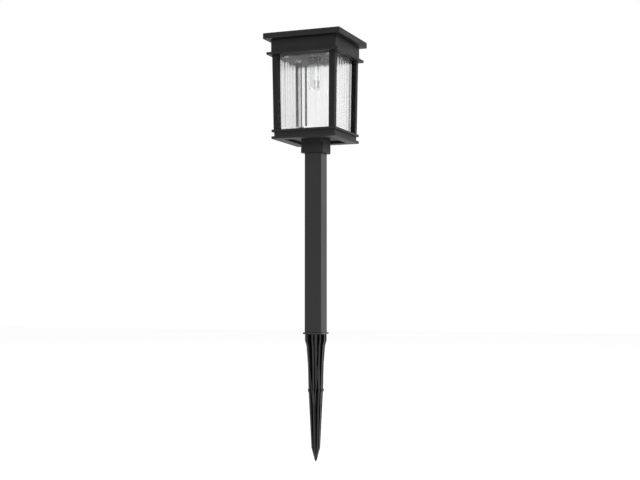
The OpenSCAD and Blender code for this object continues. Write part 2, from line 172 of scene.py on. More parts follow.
# %% [markdown]
# ## Grain and drift
#
# No real surface is even. A fine relief scatters its highlights, and a slow drift of roughness or
# colour keeps large faces from looking like paper. Both come from one soft noise, whose patches
# have a real size in millimetres and can be drawn out along an axis, as mould flow is.

# %% Helpers for relief and drift


def soft_noise(tree, size_mm, stretch, detail):
    """A noise fixed to the object, with patches of a real size."""
    place = add_node(tree, "ShaderNodeTexCoord")
    drawn = add_node(tree, "ShaderNodeMapping", {
        "Vector": place.outputs["Object"], "Scale": [1 / (size_mm * MM * side) for side in stretch]})
    noise = add_node(tree, "ShaderNodeTexNoise", {
        "Vector": drawn.outputs[0], "Scale": 1.0, "Detail": detail})
    return noise.outputs[0]


def fine_relief(tree, shader, grain_mm, depth_mm, stretch=(1, 1, 1)):
    """Covers a finish with fine bumps of a real width and depth, drawn out by stretch."""
    relief = add_node(tree, "ShaderNodeBump", {
        "Height": soft_noise(tree, grain_mm, stretch, 2.0), "Distance": depth_mm * MM})
    tree.links.new(relief.outputs[0], shader.inputs["Normal"])


def drift(tree, shader, socket, low, high, blotch_mm, stretch=(1, 1, 1)):
    """Lets a shader's number or colour drift between two values in blotches of a real size."""
    blotches = soft_noise(tree, blotch_mm, stretch, 3.0)
    if isinstance(low, str):
        span = add_node(tree, "ShaderNodeMix", {
            MIX_SHARE: blotches, MIX_FIRST: paint(low), MIX_SECOND: paint(high)}, data_type="RGBA")
        tree.links.new(span.outputs[MIX_RESULT], shader.inputs[socket])
    else:
        span = add_node(tree, "ShaderNodeMapRange", {
            "Value": blotches, "From Min": 0.3, "From Max": 0.7, "To Min": low, "To Max": high})
        tree.links.new(span.outputs[0], shader.inputs[socket])


print("ready to grain and drift")

# %% [markdown]
# ## Black plastic of the lantern
#
# The housing, the posts and the base are moulded from ABS, in a mould whose faces were spark
# eroded. That leaves a fine, even grain: the plastic is satin, neither shiny nor chalky. Nearly
# all that the eye sees on black plastic is reflection, so the roughness matters more than the
# colour. The material is made in three copies that differ only in how much they reflect: the
# posts' copy reflects a little less than the housing's, which is painted shade, and the base's a
# little more, which is painted light from the bright floor below. The real grain is about a tenth
# of a millimetre, too fine to show, so it is drawn four times as coarse.

# %% Moulded ABS, satin black
# The posts' lower level is painted shade, and the base's higher level is painted light from the floor.
for finish_key, finish_name, sheen_with_painted_light_and_shade in (
        ("black_plastic", "moulded_abs_satin_black", 0.32),
        ("post_plastic_painted_shade", "moulded_abs_black_posts_painted_shade", 0.25),
        ("base_plastic_painted_light", "moulded_abs_black_base_painted_light", 0.37)):
    tree, shader = new_finish(finish_key, finish_name, "#0a0a0b", 0.55, Specular_IOR_Level=sheen_with_painted_light_and_shade)
    fine_relief(tree, shader, grain_mm=0.45, depth_mm=0.01)
    drift(tree, shader, "Roughness", 0.5, 0.6, blotch_mm=22)
print("three mouldings of black ABS")

# %% [markdown]
# ## Powder coat on the pole
#
# The pole is thin square steel tube with a black powder coat. The powder melts in an oven and
# flows into a skin with a soft waviness called orange peel, a millimetre or two from crest to
# crest. It reflects a touch more than the moulded plastic.

# %% Powder-coated steel
tree, shader = new_finish("pole_paint", "powder_coat_black", "#0b0b0c", 0.36, Specular_IOR_Level=0.42)
fine_relief(tree, shader, grain_mm=1.6, depth_mm=0.015)
drift(tree, shader, "Roughness", 0.33, 0.4, blotch_mm=18, stretch=(1, 1, 3))
print("pole:", finishes["pole_paint"].name)

# %% [markdown]
# ## Glossy plastic of the stake
#
# The stake is polypropylene from a polished mould. The plastic shrinks as it sets, which leaves
# long, shallow ripples down the fins, and they break up the reflections into streaks.

# %% Moulded polypropylene, glossy
tree, shader = new_finish("stake_plastic", "moulded_polypropylene_black", "#040404", 0.2, ior=1.49)
fine_relief(tree, shader, grain_mm=2.2, depth_mm=0.08, stretch=(1, 1, 6))
drift(tree, shader, "Roughness", 0.14, 0.28, blotch_mm=9, stretch=(1, 1, 3))
print("stake:", finishes["stake_plastic"].name)

# %% [markdown]
# ## Clear windows and bulb glass
#
# The windows are acrylic, moulded clear, and the bulb is thin soda-lime glass. Both are nearly
# colourless, so the index of refraction does the work: 1.49 for acrylic and 1.52 for glass. The
# window has a slight haze, because its mould isn't polished like a lens, and glass that was blown
# has a slow ripple.

# %% Moulded acrylic and blown glass
tree, shader = new_finish("window_glass", "clear_acrylic", "#f7f7f7", 0.02, ior=1.49,
                          Transmission_Weight=1.0)
fine_relief(tree, shader, grain_mm=14, depth_mm=0.006, stretch=(1, 1, 8))
drift(tree, shader, "Roughness", 0.09, 0.14, blotch_mm=14)

tree, shader = new_finish("bulb_glass", "soda_lime_glass", "#fdfefe", 0.0, ior=1.52, Transmission_Weight=1.0)
fine_relief(tree, shader, grain_mm=9, depth_mm=0.02)
print("clear:", [finishes[key].name for key in ("window_glass", "bulb_glass")])

# %% [markdown]
# ## Casting resin and LED epoxy
#
# The solar panel lies under a skin of poured resin, which sets with shallow dips and a patchy
# gloss. The LED's epoxy is cast in a polished cup. It is a little cloudy, so that it spreads the
# light of the chip, and that is why it isn't fully transmissive.

# %% Poured resin and cast epoxy
tree, shader = new_finish("solar_resin", "cast_clear_resin", "#f4f7f8", 0.06, Transmission_Weight=1.0)
fine_relief(tree, shader, grain_mm=5, depth_mm=0.03)
drift(tree, shader, "Roughness", 0.03, 0.12, blotch_mm=11)

tree, shader = new_finish("led_epoxy", "led_lens_epoxy", "#f6f4ea", 0.03, ior=1.53, Transmission_Weight=0.94)
drift(tree, shader, "Roughness", 0.02, 0.08, blotch_mm=2)
print("cast:", [finishes[key].name for key in ("solar_resin", "led_epoxy")])

# %% [markdown]
# ## Metals
#
# Four metals show when the light is taken apart. The screws are zinc-plated steel, the contacts
# are nickel-plated spring steel, the choke is wound from enamelled copper wire, and the joints are
# tin solder, which freezes with a dull, uneven skin. A metal has no colour under its shine, so its
# base colour is the colour of its reflections. Enamel is a thin varnish, so the copper is a little
# less metallic.

# %% Zinc plate, nickel plate, enamelled copper and solder
tree, shader = new_finish("screw_steel", "zinc_plated_steel", "#b9bcc0", 0.32, metallic=1.0)
fine_relief(tree, shader, grain_mm=0.3, depth_mm=0.008)
drift(tree, shader, "Roughness", 0.25, 0.42, blotch_mm=1.5)

tree, shader = new_finish("contact_nickel", "nickel_plated_contact", "#bdbab3", 0.24, metallic=1.0)
fine_relief(tree, shader, grain_mm=0.5, depth_mm=0.006, stretch=(1, 1, 6))
drift(tree, shader, "Roughness", 0.18, 0.34, blotch_mm=3)

tree, shader = new_finish("choke_enamel", "enamelled_copper_wire", "#9c4a22", 0.28, metallic=0.85)
drift(tree, shader, "Base Color", "#8a3a18", "#b4602c", blotch_mm=2.5)
fine_relief(tree, shader, grain_mm=0.4, depth_mm=0.006)

tree, shader = new_finish("solder", "tin_solder", "#c9cac8", 0.3, metallic=1.0)
drift(tree, shader, "Roughness", 0.2, 0.45, blotch_mm=0.8)
fine_relief(tree, shader, grain_mm=0.5, depth_mm=0.01)
metal_keys = ("screw_steel", "contact_nickel", "choke_enamel", "solder")
print("metals:", [finishes[key].name for key in metal_keys])

# %% [markdown]
# ## Gasket and switch knob
#
# The gasket is cut from foam rubber, whose open cells scatter nearly all light, so it is the
# dullest black of all. The knob is moulded acetal, a slippery, slightly waxy white plastic.

# %% Foam rubber and white acetal
tree, shader = new_finish("gasket_rubber", "gasket_rubber_black", "#0b0b0b", 0.8)
fine_relief(tree, shader, grain_mm=0.6, depth_mm=0.05)
drift(tree, shader, "Roughness", 0.7, 0.9, blotch_mm=6)

tree, shader = new_finish("knob_white", "white_acetal", "#dedfdb", 0.38, ior=1.48)
fine_relief(tree, shader, grain_mm=0.4, depth_mm=0.008)
drift(tree, shader, "Base Color", "#dadbd6", "#e3e4e0", blotch_mm=3)

print("rubber and acetal:", [finishes[key].name for key in ("gasket_rubber", "knob_white")])

# %% [markdown]
# ## Leads, chip and shrink sleeve
#
# The leads have an extruded PVC jacket with a soft shine. The chip is moulded from epoxy filled
# with powdered silica, which leaves it matt. The sleeve of the cell is PVC that was shrunk by heat,
# so shallow wrinkles run round the cell.

# %% Extruded PVC, moulded epoxy and shrunk PVC
for slot_name, finish_name, dark, light in (
        ("lead_red", "pvc_lead_red", "#8c1113", "#9d1a18"),
        ("lead_black", "pvc_lead_black", "#0c0c0d", "#141415")):
    tree, shader = new_finish(slot_name, finish_name, dark, 0.36, ior=1.53)
    fine_relief(tree, shader, grain_mm=0.8, depth_mm=0.01)
    drift(tree, shader, "Base Color", dark, light, blotch_mm=4)

tree, shader = new_finish("chip_epoxy", "chip_epoxy_black", "#121213", 0.55)
fine_relief(tree, shader, grain_mm=0.15, depth_mm=0.01)
drift(tree, shader, "Roughness", 0.5, 0.65, blotch_mm=1.2)

tree, shader = new_finish("battery_sleeve", "pvc_shrink_sleeve_green", "#2a7a48", 0.3, ior=1.53)
drift(tree, shader, "Base Color", "#27703f", "#2f8450", blotch_mm=7)
fine_relief(tree, shader, grain_mm=3, depth_mm=0.06, stretch=(0.4, 2, 2))
small_keys = ("lead_red", "lead_black", "chip_epoxy", "battery_sleeve")
print("small plastics:", [finishes[key].name for key in small_keys])

# %% [markdown]
# ## Solar panel
#
# A small garden panel is a white glass-fibre board with strips of silicon cut from a
# multicrystalline wafer. Its blue is a reflection from a thin coating, so it behaves as a coloured
# metal does. The crystals are a few millimetres across, and each one reflects a slightly different
# blue. A Voronoi pattern gives such patches with sharp borders. The board's relief is the weave of
# the glass cloth under its white ink.

# %% Coated silicon and white laminate
crystal_mm = 4.5
tree, shader = new_finish("solar_silicon", "multicrystalline_silicon", "#1a2d60", 0.32, metallic=0.9)
place = add_node(tree, "ShaderNodeTexCoord")
crystals = add_node(tree, "ShaderNodeTexVoronoi", {
    "Vector": place.outputs["Object"], "Scale": 1 / (crystal_mm * MM)})
blue = add_node(tree, "ShaderNodeMix", {
    MIX_SHARE: crystals.outputs["Color"], MIX_FIRST: paint("#101b42"), MIX_SECOND: paint("#223a7c")},
    data_type="RGBA")
tree.links.new(blue.outputs[MIX_RESULT], shader.inputs["Base Color"])
fine_relief(tree, shader, grain_mm=0.4, depth_mm=0.004)

tree, shader = new_finish("board_white", "white_laminate", "#dcddd8", 0.45)
drift(tree, shader, "Base Color", "#d5d6d0", "#e1e2de", blotch_mm=8)
fine_relief(tree, shader, grain_mm=0.7, depth_mm=0.015, stretch=(1, 4, 1))
print("panel:", [finishes[key].name for key in ("solar_silicon", "board_white")])

# %% [markdown]
# ## Circuit board
#
# The circuit board is printed with green solder mask over rows of copper tracks. The tracks stand
# a few hundredths of a millimetre proud, and the mask looks lighter over them. A brick pattern
# gives long, staggered runs like that: its bricks are the tracks and its joints are the gaps.

# %% Solder mask over copper tracks
track_l, track_pitch, track_gap = 6.5, 1.3, 0.14
track_h = 0.035
tree, shader = new_finish("board_green", "green_solder_mask", "#11512a", 0.3, ior=1.52)
place = add_node(tree, "ShaderNodeTexCoord")
tracks = add_node(tree, "ShaderNodeTexBrick", {
    "Vector": place.outputs["Object"], "Scale": 1 / MM, "Brick Width": track_l, "Row Height": track_pitch,
    "Mortar Size": track_gap, "Mortar Smooth": 0.3})
copper = add_node(tree, "ShaderNodeMapRange", {
    "Value": tracks.outputs["Fac"], "To Min": 1.0, "To Max": 0.0})
mask = add_node(tree, "ShaderNodeMix", {
    MIX_SHARE: copper.outputs[0], MIX_FIRST: paint("#0f4826"), MIX_SECOND: paint("#1b6a38")},
    data_type="RGBA")
relief = add_node(tree, "ShaderNodeBump", {"Height": copper.outputs[0], "Distance": track_h * MM})
tree.links.new(mask.outputs[MIX_RESULT], shader.inputs["Base Color"])
tree.links.new(relief.outputs[0], shader.inputs["Normal"])
print("circuit board:", finishes["board_green"].name)

# %% [markdown]
# ## Phosphor, ferrite and ceramic
#
# Three small sintered or powdery materials are left. The LED's chip lies under a yellow phosphor,
# the choke's core is pressed ferrite, a dark grey ceramic, and the disc capacitor is dipped in tan
# lacquer over ceramic. All are matt, and their colour is mottled on the scale of a millimetre.

# %% Powdery finishes
tree, shader = new_finish("led_phosphor", "led_phosphor", "#d2c67c", 0.6)
drift(tree, shader, "Base Color", "#c9bb70", "#dace8c", blotch_mm=0.8)

tree, shader = new_finish("ferrite", "ferrite_grey", "#2b2a2b", 0.6)
drift(tree, shader, "Base Color", "#242324", "#343233", blotch_mm=1.2)
fine_relief(tree, shader, grain_mm=0.25, depth_mm=0.02)

tree, shader = new_finish("ceramic", "ceramic_tan", "#b48a55", 0.5)
drift(tree, shader, "Base Color", "#a97f4b", "#bd9460", blotch_mm=0.9)
print(len(finishes), "finishes")

# %% [markdown]
# ## Softened edges on the CAD parts
#
# CAD edges are perfectly sharp, and nothing real is. A moulded edge has a radius of a few tenths
# of a millimetre, which catches a thin line of light. The CAD parts stay as they are, because
# other tools rely on their shape, so the rounding is done by modifiers: one joins the triangles'
# corners, one merges triangles that lie in one plane, and the last bevels the edges. The widths
# are in millimetres: wide for mouldings, narrow for thin sheet.

# %% Edge and finish of each CAD part that keeps its shape
SOFT_EDGE_MM = {
    "ground_stake": 0.25, "pole": 0.3, "socket_plate": 0.35, "base_tray": 0.35,
    "lantern_frame": 0.35, "top_housing": 0.35, "roof_cap": 0.4, "roof_gasket": 0.1,
    "housing_tub": 0.25, "battery_door": 0.25, "switch_body": 0.2, "bulb_socket": 0.25,
    "solar_board": 0.08, "solar_cover": 0.15, "circuit_board": 0.1, "led_frame": 0.05,
    "solar_cells": 0.03,
}
CAD_FINISH = {
    "ground_stake": "stake_plastic", "pole": "pole_paint", "roof_gasket": "gasket_rubber",
    "solar_board": "board_white", "solar_cover": "solar_resin", "circuit_board": "board_green",
    "led_frame": "contact_nickel", "solar_cells": "solar_silicon",
}
# The posts take the copy of black ABS with painted shade in its reflection, and the base and its plate take
# the copy with painted light.
PAINTED_LIGHT_FINISH = {
    "lantern_frame": "post_plastic_painted_shade", "base_tray": "base_plastic_painted_light", "socket_plate": "base_plastic_painted_light",
}
print(len(SOFT_EDGE_MM), "edge widths,", len(CAD_FINISH) + len(PAINTED_LIGHT_FINISH), "finishes of their own")

# %% [markdown]
# ## Dressing them
#
# A finish is given to the part's mesh. All parts without a finish of their own are black ABS.

# %% Dress the CAD parts


def soften_edges(node, width_mm):
    """Rounds the edges of a CAD part with modifiers, which leave its own mesh alone."""
    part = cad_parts[node]
    join = part.modifiers.new("join corners", "WELD")
    join.merge_threshold = 0.001 * MM
    merge = part.modifiers.new("merge flat faces", "DECIMATE")
    merge.decimate_type = "DISSOLVE"
    merge.angle_limit = math.radians(1)
    bevel = part.modifiers.new("soft edge", "BEVEL")
    bevel.width = width_mm * MM
    bevel.segments = 3
    bevel.limit_method = "ANGLE"
    bevel.angle_limit = math.radians(35)
    bevel.harden_normals = True


for node, width in SOFT_EDGE_MM.items():
    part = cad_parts[node]
    slot_name = CAD_FINISH.get(node, "black_plastic")
    part.data.materials.clear()
    part.data.materials.append(finishes[PAINTED_LIGHT_FINISH.get(node, slot_name)])
    soften_edges(node, width)
print(len(SOFT_EDGE_MM), "CAD parts dressed")

# %% [markdown]
# ## Turned shapes
#
# Most small parts are turned, swept or moulded, and each of the three has a helper. All return
# points in millimetres and faces, so that several shapes can be joined into one piece before it
# becomes a Blender object. A turned shape is an outline taken round an axis, as on a lathe. A Screw
# modifier could do it, but code can close the poles without doubled points.

# %% Turn an outline
NO_RADIUS = 1e-6


def turned(profile, centre=(0, 0, 0), axis="z", sides=48):
    """Turns a closed outline of (radius, height) points. Points with no radius become a pole."""
    points, rings = [], []
    for radius, height in profile:
        if radius < NO_RADIUS:
            rings.append([len(points)] * sides)
            points.append((0, 0, height))
        else:
            rings.append([len(points) + k for k in range(sides)])
            for k in range(sides):
                angle = 2 * math.pi * k / sides
                points.append((radius * math.cos(angle), radius * math.sin(angle), height))
    faces = []
    closed = profile[0][0] > NO_RADIUS or profile[-1][0] > NO_RADIUS
    pairs = list(zip(rings, rings[1:] + rings[:1])) if closed else list(zip(rings, rings[1:]))
    for lower, upper in pairs:
        for k in range(sides):
            n = (k + 1) % sides
            corners = [lower[k], lower[n], upper[n], upper[k]]
            face = [c for i, c in enumerate(corners) if c not in corners[:i]]
            if len(face) > 2:
                faces.append(face)
    if axis == "x":
        points = [(z, x, y) for x, y, z in points]
    return [tuple(Vector(p) + Vector(centre)) for p in points], faces


print("a turned disc has", len(turned([(0, 0), (1, 0), (1, 1), (0, 1)])[1]), "faces")

# %% [markdown]
# ## Swept shapes
#
# Leads and feet are wire or strip that was bent: straight runs with a smooth bend at each stop. The
# outline is carried along the route and turns only as much as the route does, so it never twists.
# A curve object with a bevel would look the same, but its ends would have to be closed by hand.

# %% Bend a route and sweep an outline
SAME_PLACE = 1e-4


def bent_route(stops, bend, steps=6):
    """Straight runs between the stops, joined by smooth bends that start a distance before each stop."""
    stops = [Vector(stop) for stop in stops]
    route = [stops[0]]
    for before, corner, after in zip(stops, stops[1:], stops[2:]):
        start = corner + (before - corner).normalized() * min(bend, (before - corner).length / 2)
        end = corner + (after - corner).normalized() * min(bend, (after - corner).length / 2)
        for step in range(steps + 1):
            t = step / steps
            route.append(start * (1 - t) ** 2 + 2 * corner * t * (1 - t) + end * t * t)
    route.append(stops[-1])
    return [a for a, b in zip(route, route[1:]) if (b - a).length > SAME_PLACE] + [route[-1]]


def swept(route, section, across=None):
    """Sweeps a flat outline along a route. Each copy turns only as much as the route does."""
    route = [Vector(p) for p in route]
    ways = [(b - a).normalized() for a, b in zip(route, route[1:])]
    ways = [ways[0]] + [(a + b).normalized() for a, b in zip(ways, ways[1:])] + [ways[-1]]
    across = Vector(across) if across else ways[0].orthogonal().normalized()
    sides = len(section)
    points = []
    for place, way in zip(route, ways):
        across = (across - way * across.dot(way)).normalized()
        up = way.cross(across)
        points.extend(tuple(place + a * across + b * up) for a, b in section)
    faces = []
    for ring in range(len(route) - 1):
        a, b = ring * sides, (ring + 1) * sides
        for k in range(sides):
            n = (k + 1) % sides
            faces.append([a + k, a + n, b + n, b + k])
    last = (len(route) - 1) * sides
    return points, faces + [list(range(sides))[::-1], [last + k for k in range(sides)]]


def swept_wire(route, radius, sides=12):
    """A round wire along a route."""
    turns = [2 * math.pi * k / sides for k in range(sides)]
    return swept(route, [(radius * math.cos(turn), radius * math.sin(turn)) for turn in turns])


print("a straight wire has", len(swept_wire([(0, 0, 0), (0, 0, 1)], 0.5)[1]), "faces")

# %% [markdown]
# ## Blocks and joining
#
# Small moulded bodies are blocks, but never with sharp edges: each edge is bevelled as it is made.
# Shapes that are one part, or a set of equal parts, are joined into one list.

# %% Round a block and join shapes


def rounded_block(low, high, edge=0.15, segments=2):
    """A block between two corners, with its edges rounded."""
    mesh = bmesh.new()
    bmesh.ops.create_cube(mesh, size=1)
    size, middle = Vector(high) - Vector(low), (Vector(high) + Vector(low)) / 2
    bmesh.ops.scale(mesh, vec=size, verts=mesh.verts)
    bmesh.ops.bevel(mesh, geom=mesh.edges[:], offset=edge, segments=segments,
                    affect="EDGES", profile=0.5)
    bmesh.ops.translate(mesh, vec=middle, verts=mesh.verts)
    mesh.verts.index_update()
    shape = [tuple(v.co) for v in mesh.verts], [[v.index for v in f.verts] for f in mesh.faces]
    mesh.free()
    return shape


def joined(*shapes):
    """Several shapes as one list of points and one list of faces."""
    points, faces = [], []
    for shape_points, shape_faces in shapes:
        start = len(points)
        points.extend(shape_points)
        faces.extend([[start + i for i in face] for face in shape_faces])
    return points, faces


print("a rounded block has", len(rounded_block((0, 0, 0), (1, 1, 1))[1]), "faces")

# %% [markdown]
# ## From a shape to a piece
#
# A piece is turned into metres, its faces are made to look outwards, and its edges stay sharp only
# where two faces meet at a real angle. It then rides on the body that carries it, so that it moves
# with that body, and the CAD parts that it replaces are hidden. Open edges are counted, because each
# piece has to be a closed solid.

# %% Make a piece


def add_piece(name, shape, body, slot_name, replaces=(), finish=None, sharp_angle=35):
    """Makes an object from a shape in millimetres, gives it its finish, and lets it ride on a body."""
    mesh = bpy.data.meshes.new(name)
    mesh.from_pydata([Vector(p) * MM for p in shape[0]], [], shape[1])
    cleaned = bmesh.new()
    cleaned.from_mesh(mesh)
    bmesh.ops.recalc_face_normals(cleaned, faces=cleaned.faces)
    open_edges = sum(not edge.is_manifold for edge in cleaned.edges)
    cleaned.to_mesh(mesh)
    cleaned.free()
    mesh.shade_smooth()
    mesh.set_sharp_from_angle(angle=math.radians(sharp_angle))
    mesh.materials.append(finish or finishes[slot_name])
    piece = bpy.data.objects.new(name, mesh)
    bpy.context.scene.collection.objects.link(piece)
    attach(piece, body)
    if replaces:
        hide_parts(*replaces)
    print(name, len(mesh.polygons), "faces", f"{open_edges} open edges" if open_edges else "closed")


print("ready to add pieces")

# %% [markdown]
# ## Ribbed windows
#
# Each window is one moulded plate, smooth inside, with upright ribs on its outer face that end
# above a narrow plain band. The ribs are one soft wave, a third of a millimetre deep. They bend
# what lies behind into upright streaks, so their true depth matters: a bump in the material would
# change the shine but not the streaks.

# %% Size of a window and its ribs
window_face_y = 37.5
window_t = 1.6
window_half = 35.5
rib_count = 8
rib_h = 0.35
rib_span = post_top_w - 2 * post_w
rib_steps = 16
band_top_z = floor_z + 2
rib_ease = 1.6
rib_ease_steps = 5


def lantern_scale(z):
    """How much narrower the lantern is at a height than at its top."""
    share = (z - floor_z) / (ceiling_z - floor_z)
    return (post_foot_w + (post_top_w - post_foot_w) * share) / post_top_w


def rib_height(x):
    """Height of the ribbed face above the plate at a distance x from the window's middle."""
    place = (x + rib_span / 2) / rib_span * rib_count
    if not 0 <= place <= rib_count:
        return 0
    return rib_h * (1 + math.cos(2 * math.pi * place)) / 2


print("ribs", round(rib_span / rib_count, 2), "mm apart")

# %% [markdown]
# ## One plate, four times
#
# The plate is a grid of points, outer face and inner face together, with columns close enough to
# follow the wave. It narrows towards its foot as the lantern does, and the ribs rise out of the
# plain band within a millimetre or two. The other three are the same plate, a quarter turn on.

# %% Mould the four windows


def window_shape(quarter_turns):
    """One window plate, a number of quarter turns round from the front."""
    steps = rib_count * rib_steps
    ribbed = [-rib_span / 2 + rib_span * i / steps for i in range(steps + 1)]
    columns = [-window_half] + ribbed + [window_half]
    levels = [(floor_z, 0.0), (band_top_z, 0.0)]
    levels += [(band_top_z + rib_ease * k / rib_ease_steps, math.sin(math.pi / 2 * k / rib_ease_steps))
               for k in range(1, rib_ease_steps + 1)]
    levels += [(ceiling_z, 1.0)]
    points, faces = [], []
    width = len(columns)
    for z, grown in levels:
        scale = lantern_scale(z)
        for x in columns:
            points.append((x * scale, (-window_face_y - grown * rib_height(x)) * scale, z))
        for x in columns:
            points.append((x * scale, (-window_face_y + window_t) * scale, z))
    for row in range(len(levels) - 1):
        a, b = row * 2 * width, (row + 1) * 2 * width
        for i in range(width - 1):
            faces.append([a + i, a + i + 1, b + i + 1, b + i])
            faces.append([a + width + i + 1, a + width + i, b + width + i, b + width + i + 1])
        for i in (0, width - 1):
            faces.append([a + i, b + i, b + width + i, a + width + i])
    for start in (0, (len(levels) - 1) * 2 * width):
        for i in range(width - 1):
            faces.append([start + i, start + width + i, start + width + i + 1, start + i + 1])
    turn = Matrix.Rotation(math.pi / 2 * quarter_turns, 3, "Z")
    return [tuple(turn @ Vector(p)) for p in points], faces


for turns, side in enumerate(("front", "right", "back", "left")):
    add_piece(f"ribbed_window_{side}", window_shape(turns), "lantern", "window_glass",
              replaces=[f"window_{side}"], sharp_angle=20)

# %% [markdown]
# ## Bulb
#
# The bulb is a small clear glass tube with a round end. Clear glass only looks like glass if it
# has two surfaces with a wall between them, so the outline goes up the outside, over the rim and
# back down the inside.

# %% Blow the glass
bulb_r = 7.0
glass_wall = 0.8
bore_r = bulb_r - glass_wall
bulb_foot_z = low_mm("bulb_envelope").z
bulb_rim_z = high_mm("bulb_envelope").z
arc_steps = 14


def round_end(radius, centre_z):
    """A quarter circle from the foot of a ball up to its side."""
    angles = [math.pi / 2 * k / arc_steps for k in range(arc_steps + 1)]
    return [(radius * math.sin(a), centre_z - radius * math.cos(a)) for a in angles]


ball_z = bulb_foot_z + bulb_r
outside = round_end(bulb_r, ball_z)
inside = round_end(bore_r, ball_z)
rim = [(bulb_r, bulb_rim_z - 0.3), (bulb_r - 0.25, bulb_rim_z), (bore_r + 0.25, bulb_rim_z),
       (bore_r, bulb_rim_z - 0.3)]
add_piece("bulb_glass", turned(outside + rim + inside[::-1], sides=64), "solar_top", "bulb_glass",
          replaces=["bulb_envelope"])

# %% [markdown]
# ## LED
#
# A 5 mm LED hangs in the bulb by its two legs, with its round end down. The lens is epoxy, cast
# with a collar at its foot, and a dot of phosphor sits in the cup of one leg. Both are turned
# shapes. The legs and their cup are a CAD part.

# %% Cast the LED lens and place the phosphor
led_foot_z = low_mm("led_lens").z
led_head_z = high_mm("led_lens").z
led_r = 2.5
lens = round_end(led_r, led_foot_z + led_r) + [
    (led_r, led_head_z - 1.0), (led_r + 0.25, led_head_z - 1.0), (led_r + 0.4, led_head_z - 0.85),
    (led_r + 0.4, led_head_z - 0.15), (led_r + 0.25, led_head_z), (0, led_head_z)]
add_piece("led_lens_cast", turned(lens, sides=48), "solar_top", "led_epoxy", replaces=["led_lens"])
cup_z = low_mm("led_frame").z
dot = [(0, cup_z - 0.5), (0.35, cup_z - 0.45), (0.6, cup_z - 0.2), (0.6, cup_z + 0.1), (0, cup_z + 0.1)]
add_piece("led_phosphor_dot", turned(dot, centre=(-1.0, 0, 0), sides=24), "solar_top", "led_epoxy",
          finish=finishes["led_phosphor"])

# %% [markdown]
# ## Screws
#
# Two sets of self-tapping screws hold the light together: four in the square plate under the base
# and four in the ceiling of the lantern. All have a domed head with a cross recess, pressed in by a
# die, and a rolled thread. The recess has a star-like outline, so a ring of points can follow it
# all the way round, and the thread is a ridge that climbs as the angle grows. Boolean cuts could
# make the recess too, but they leave ragged meshes.

# %% Outline of the cross recess
cross_half_w = 0.3
cross_half_l = 1.3


def cross_radius(angle):
    """How far the cross recess reaches in one direction."""
    along, aside = sorted((abs(math.cos(angle)), abs(math.sin(angle))), reverse=True)
    if aside * cross_half_l <= cross_half_w * along:
        return cross_half_l / along
    return cross_half_w / aside


print("recess reaches", cross_radius(0), "mm along an arm")

# %% [markdown]
# ## Rings of a screw
#
# From the head up, a screw is a stack of rings: the floor and mouth of the recess, the dome, the
# seat, then one ring every tenth of a millimetre up the thread, and a blunt tip.

# %% Stack the rings
screw_head_h = 1.5
thread_pitch = 0.8
thread_core_r = 0.74
thread_h = 0.24
thread_flank = 0.28
thread_step = 0.1


def screw_shape(x, y, head_z, shank_l):
    """A screw with its head's face down at head_z. The shank points up."""
    corner = math.atan2(cross_half_w, cross_half_l)
    quarter = [0, corner, *[math.radians(15 * k) for k in (1, 2, 3, 4, 5)], math.pi / 2 - corner]
    angles = [math.pi / 2 * k + a for k in range(4) for a in sorted(quarter)]
    seat_z = head_z + screw_head_h
    rings = [[(0.85 * cross_radius(a), head_z + 0.9) for a in angles],
             [(cross_radius(a), head_z + 0.02) for a in angles]]
    head = [(1.75, head_z + 0.12), (2.1, head_z + 0.35), (2.35, head_z + 0.75), (2.4, seat_z), (1.0, seat_z)]
    rings += [[point] * len(angles) for point in head]
    steps = int(shank_l / thread_step)
    for k in range(1, steps - 3):
        z = thread_step * k
        ridges = [abs(((z / thread_pitch - a / (2 * math.pi)) % 1) - 0.5) for a in angles]
        rings.append([(thread_core_r + thread_h * max(0, 1 - ridge / thread_flank), seat_z + z)
                      for ridge in ridges])
    rings.append([(0.45, seat_z + shank_l - 0.1)] * len(angles))
    points = [(0, 0, head_z + 0.95)]
    for ring in rings:
        points.extend((r * math.cos(a), r * math.sin(a), z) for a, (r, z) in zip(angles, ring))
    points.append((0, 0, seat_z + shank_l))
    sides = len(angles)
    faces = []
    for k in range(sides):
        n = (k + 1) % sides
        faces.append([0, 1 + n, 1 + k])
        for ring in range(len(rings) - 1):
            a, b = 1 + ring * sides, 1 + (ring + 1) * sides
            faces.append([a + k, a + n, b + n, b + k])
        last = 1 + (len(rings) - 1) * sides
        faces.append([last + k, last + n, len(points) - 1])
    return [tuple(Vector(p) + Vector((x, y, 0))) for p in points], faces


print("a 6 mm screw has", len(screw_shape(0, 0, 0, 6)[1]), "faces")

# %% [markdown]
# ## Two sets of screws
#
# The screws stand where the CAD screws do, in a square under the base and in a rectangle in the
# ceiling, clear of the battery. Each set is one piece.

# %% Drive in the screws
base_screw_at = (-23.8, 23.8)
ceiling_screw_x = (-28, 28)
ceiling_screw_y = (-27.5, 6)
base_screw_z = low_mm("base_screws").z
ceiling_screw_z = low_mm("housing_screws").z
base_screw_l = high_mm("base_screws").z - base_screw_z - screw_head_h
ceiling_screw_l = high_mm("housing_screws").z - ceiling_screw_z - screw_head_h
base_set = [screw_shape(x, y, base_screw_z, base_screw_l) for x in base_screw_at for y in base_screw_at]
add_piece("base_plate_screws", joined(*base_set), "lantern", "screw_steel", replaces=["base_screws"])
ceiling_set = [screw_shape(x, y, ceiling_screw_z, ceiling_screw_l)
               for x in ceiling_screw_x for y in ceiling_screw_y]
add_piece("ceiling_screws", joined(*ceiling_set), "solar_top", "screw_steel", replaces=["housing_screws"])

# %% [markdown]
# ## Rechargeable cell
#
# A round cell is a steel can with a shrink sleeve. The sleeve grips the can and curls over both
# ends, and the can is rolled in below the button, which leaves a groove. Sleeve and can are two
# outlines turned about the same axis.

